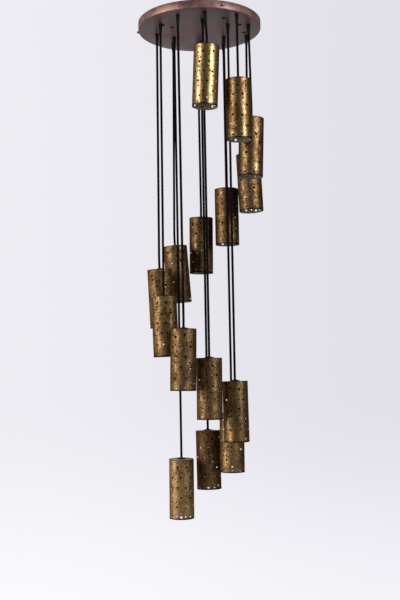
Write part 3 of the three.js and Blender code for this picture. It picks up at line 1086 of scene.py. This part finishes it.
def makeBush(place):
    low = -canopy["height"]
    flangeLow = low - bush["flangeHeight"]
    seat, raised = low - bush["seat"], low + bush["inPanHeight"]
    end, lipEdge, throat = low - bush["length"], bush["lipEdge"], bush["throat"]
    mouth = bush["lip"] - bush["lipWall"]
    fillet, filletHeight = bush["rootFillet"]
    profile = [(mouth, end + lipEdge), (mouth + lipEdge, end)]
    profile += arc((bush["lip"] - lipEdge, end + lipEdge), lipEdge, -60, 0, 3)
    profile += [(bush["root"], flangeLow - filletHeight), (bush["root"] + fillet, flangeLow)]
    profile += [(bush["flange"], flangeLow), (bush["flange"], seat)]
    profile += [(bush["inPan"], seat), (bush["inPan"], raised), (throat, raised), (throat, low)]
    bell = np.linspace(0, 1, 6)[1:-1]
    profile += [(throat + (mouth - throat) * t, low + (end + lipEdge - low) * t) for t in bell]
    points, faces = turned(profile, bush["sides"], True)
    points = points + (place["exit"][0], place["exit"][1], 0)
    piece = makeMesh("cord_bush_" + place["number"], points, faces, bushBlack)
    settle(piece, "canopy", "black_rubber", "canopy_pan")


for place in places:
    makeBush(place)

# Blanking plugs: a low dome and a shank in the pan's hole

plug = {
    "head": 0.0065,
    "height": 0.0024,
    "brim": 0.0006,
    "shank": 0.005,
    "tail": 0.0052,
    "seat": 0.00002,
    "sides": 40,
}


def makePlug(number):
    centre = plugCentre(number)
    seat = -canopy["height"] - plug["seat"]
    brim = seat - plug["brim"]
    dome = plug["height"] - plug["brim"]
    angles = np.linspace(0, 1, 9) * math.pi / 2
    profile = [(plug["head"] * math.sin(a), brim - dome * math.cos(a)) for a in angles]
    profile += [(plug["head"], seat), (plug["shank"], seat), (plug["shank"], seat + plug["tail"])]
    profile += [(0.0, seat + plug["tail"])]
    points, faces = turned(profile, plug["sides"])
    piece = makeMesh("hole_plug_%d" % number, points + (centre.x, centre.y, 0), faces, bushBlack)
    settle(piece, "canopy", "black_rubber", "blanking_plug_%d" % number)


for number in (1, 2, 3):
    makePlug(number)

# Rim screws: a knurled head, whose radius waves round the axis, on a plain shank

rimScrew = {
    "head": 0.0042,
    "length": 0.0090,
    "shank": 0.002,
    "tail": 0.0105,
    "waves": 22,
    "wave": 0.00018,
    "edge": 0.0004,
    "seat": 0.0001,
    "knurlBand": 0.0001,  # only points this close to the head's radius wave
    "crown": ((0.0, 0.0012), (0.0005, 0.0004), (0.0010, 0.0)),  # from the head's radius, and below its end
    "hollow": ((0.0022, 0.0), (0.0020, 0.0005)),  # radius, and depth below the head's end
}


# The screw's axis points away from the middle of the canopy, from its seat on the rim
def makeRimScrew(number):
    low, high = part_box("rim_screw_%d" % number)
    centre = (low + high) / 2
    outwards = Vector((centre.x, centre.y, 0)).normalized()
    seat = canopy["radius"] + rimScrew["seat"]
    end, tail = rimScrew["length"], -rimScrew["tail"]
    head, shank, edge, waves = rimScrew["head"], rimScrew["shank"], rimScrew["edge"], rimScrew["waves"]
    profile = [(0, tail), (shank, tail), (shank, 0), (head - edge, 0), (head, edge)]
    profile += [(head - inset, end - depth) for inset, depth in rimScrew["crown"]]
    profile += [(radius, end - depth) for radius, depth in rimScrew["hollow"]]
    profile += [(0, profile[-1][1])]
    points, faces = turned(profile, 6 * waves)
    radius = np.hypot(points[:, 0], points[:, 1])
    angle = np.arctan2(points[:, 1], points[:, 0])
    knurl = 1 - rimScrew["wave"] / head * (1 - np.cos(waves * angle))
    points[:, :2] *= np.where(radius > head - rimScrew["knurlBand"], knurl, 1)[:, None]
    placed = points @ aligned(outwards).T + np.array(outwards) * seat + (0, 0, centre.z)
    # The one at the left is black, painted shade where it stands at the rim's outline; the others are
    # finished with the rim
    finish, slot = (blackSteel, "black_steel") if number == 1 else (copperPan, "canopy_copper")
    piece = makeMesh("rim_thumbscrew_%d" % number, placed, faces, finish, 30)
    settle(piece, "canopy", slot, "rim_screw_%d" % number)


for number in (1, 2, 3):
    makeRimScrew(number)

# The hidden pieces inside the canopy keep their solids and get their finishes
for node, finish in (
    ("pan_earth_stud", zincSteel),
    ("plate_earth_screw", zincSteel),
    ("supply_grommet", bushBlack),
    ("terminal_strip_1", terminalPlastic),
    ("terminal_strip_2", terminalPlastic),
):
    frame["nodes"][node].data.materials.clear()
    frame["nodes"][node].data.materials.append(finish)
print("canopy made")

# Studio: a pale floor, four tall soft lamps in front, and a pale backdrop in a dim room

cool = (0.98, 0.99, 1.08)  # tints of the high lamps and of the low ones
warm = (1.02, 0.98, 0.90)
studio = {
    "floorHeight": -2.45,
    "floorThickness": 0.02,
    "floorRadius": 1.9,
    "floorTone": (0.82, 0.815, 0.83),
    "highLeft": (0.86, 0.845, 0.895),
    "highRight": (0.765, 0.745, 0.805),
    "lowLeft": (0.965, 0.955, 0.99),
    "lowRight": (0.905, 0.895, 0.945),
    "ambient": (0.40, 0.40, 0.42),
    "front": (0.013, 0.012, 0.012),
    "back": (0.085, 0.08, 0.082),
    "left": (0.34, 0.31, 0.30),
    # where one part of the room's colour gives way to another, in parts of the ray's direction
    "leftToRight": (-0.22, 0.22),
    "lowToHigh": (-0.26, -0.02),
    "frontToBack": (-0.35, 0.65),
    "dimToLeft": (-0.25, -0.85),
    "backdropFrom": (0.88, 0.97),
    "lampDistance": 2.6,
    "lamps": (
        # degrees from the camera's side, height, width, tall, watts, tint
        (-60, 0.35, 0.6, 1.5, 48, cool),
        (-68, -1.25, 1.3, 1.7, 34, warm),
        (49, 0.35, 0.5, 1.5, 58, cool),
        (46, -1.3, 0.5, 1.6, 7, warm),
    ),
}


def makeFloor():
    reach, high = studio["floorRadius"], studio["floorHeight"]
    low = high - studio["floorThickness"]
    points, faces = turned([(0, low), (reach, low), (reach, high), (0, high)], 128)
    material, wires = startMaterial("paleFloor")
    finishMaterial(material, wires, {"Base Color": opaque(studio["floorTone"]), "Roughness": 0.9})
    floor = makeMesh("floor", points, faces, material)


# Each lamp stands upright and faces the pendants' middle axis
def makeLamps():
    for angle, height, width, tall, watts, tint in studio["lamps"]:
        turn = math.radians(angle)
        light = bpy.data.lights.new("soft_lamp", "AREA")
        light.shape = "RECTANGLE"
        light.size = width
        light.size_y = tall
        light.energy = watts
        light.color = tint
        stand = bpy.data.objects.new("soft_lamp", light)
        reach = studio["lampDistance"]
        stand.location = (reach * math.sin(turn), -reach * math.cos(turn), height)
        aim = -Vector(stand.location)
        aim.z = 0
        stand.rotation_euler = aim.to_track_quat("-Z", "Y").to_euler()
        bpy.context.scene.collection.objects.link(stand)


# The room's colour by the ray's direction. The backdrop is pale, brighter below and to the left, and metal
# and glass see it straight behind the lamp. Beside it they see a dim room, brightest at the left and dark
# in front. Dull surfaces get an even light.
def makeWorld():
    world = bpy.data.worlds.new("room")
    bpy.context.scene.world = world
    world.use_nodes = True
    world.node_tree.nodes.clear()
    wires = Wire(world.node_tree)
    direction = wires.node("TexCoord", output="Generated")
    across, away, up = (wires.node("SeparateXYZ", None, {0: direction}, axis) for axis in "XYZ")
    camera = wires.node("LightPath", output="Is Camera Ray")
    through = wires.node("LightPath", output="Is Transmission Ray")
    glossy = wires.node("LightPath", output="Is Glossy Ray")
    toRight = across.step(*studio["leftToRight"])
    high = toRight.tint(opaque(studio["highLeft"]), opaque(studio["highRight"]))
    low = toRight.tint(opaque(studio["lowLeft"]), opaque(studio["lowRight"]))
    backdrop = up.step(*studio["lowToHigh"]).tint(low, high)
    room = away.step(*studio["frontToBack"]).tint(opaque(studio["front"]), opaque(studio["back"]))
    room = across.step(*studio["dimToLeft"]).tint(room, opaque(studio["left"]))
    seen = camera + through + glossy * away.step(*studio["backdropFrom"])
    colour = glossy.tint(opaque(studio["ambient"]), room)
    colour = seen.tint(colour, backdrop)
    background = wires.node("Background", None, {"Color": colour, "Strength": 1.0})
    wires.node("OutputWorld", None, {"Surface": background})


makeFloor()
makeLamps()
makeWorld()
bpy.context.scene.view_settings.view_transform = "Standard"
print("studio lit")
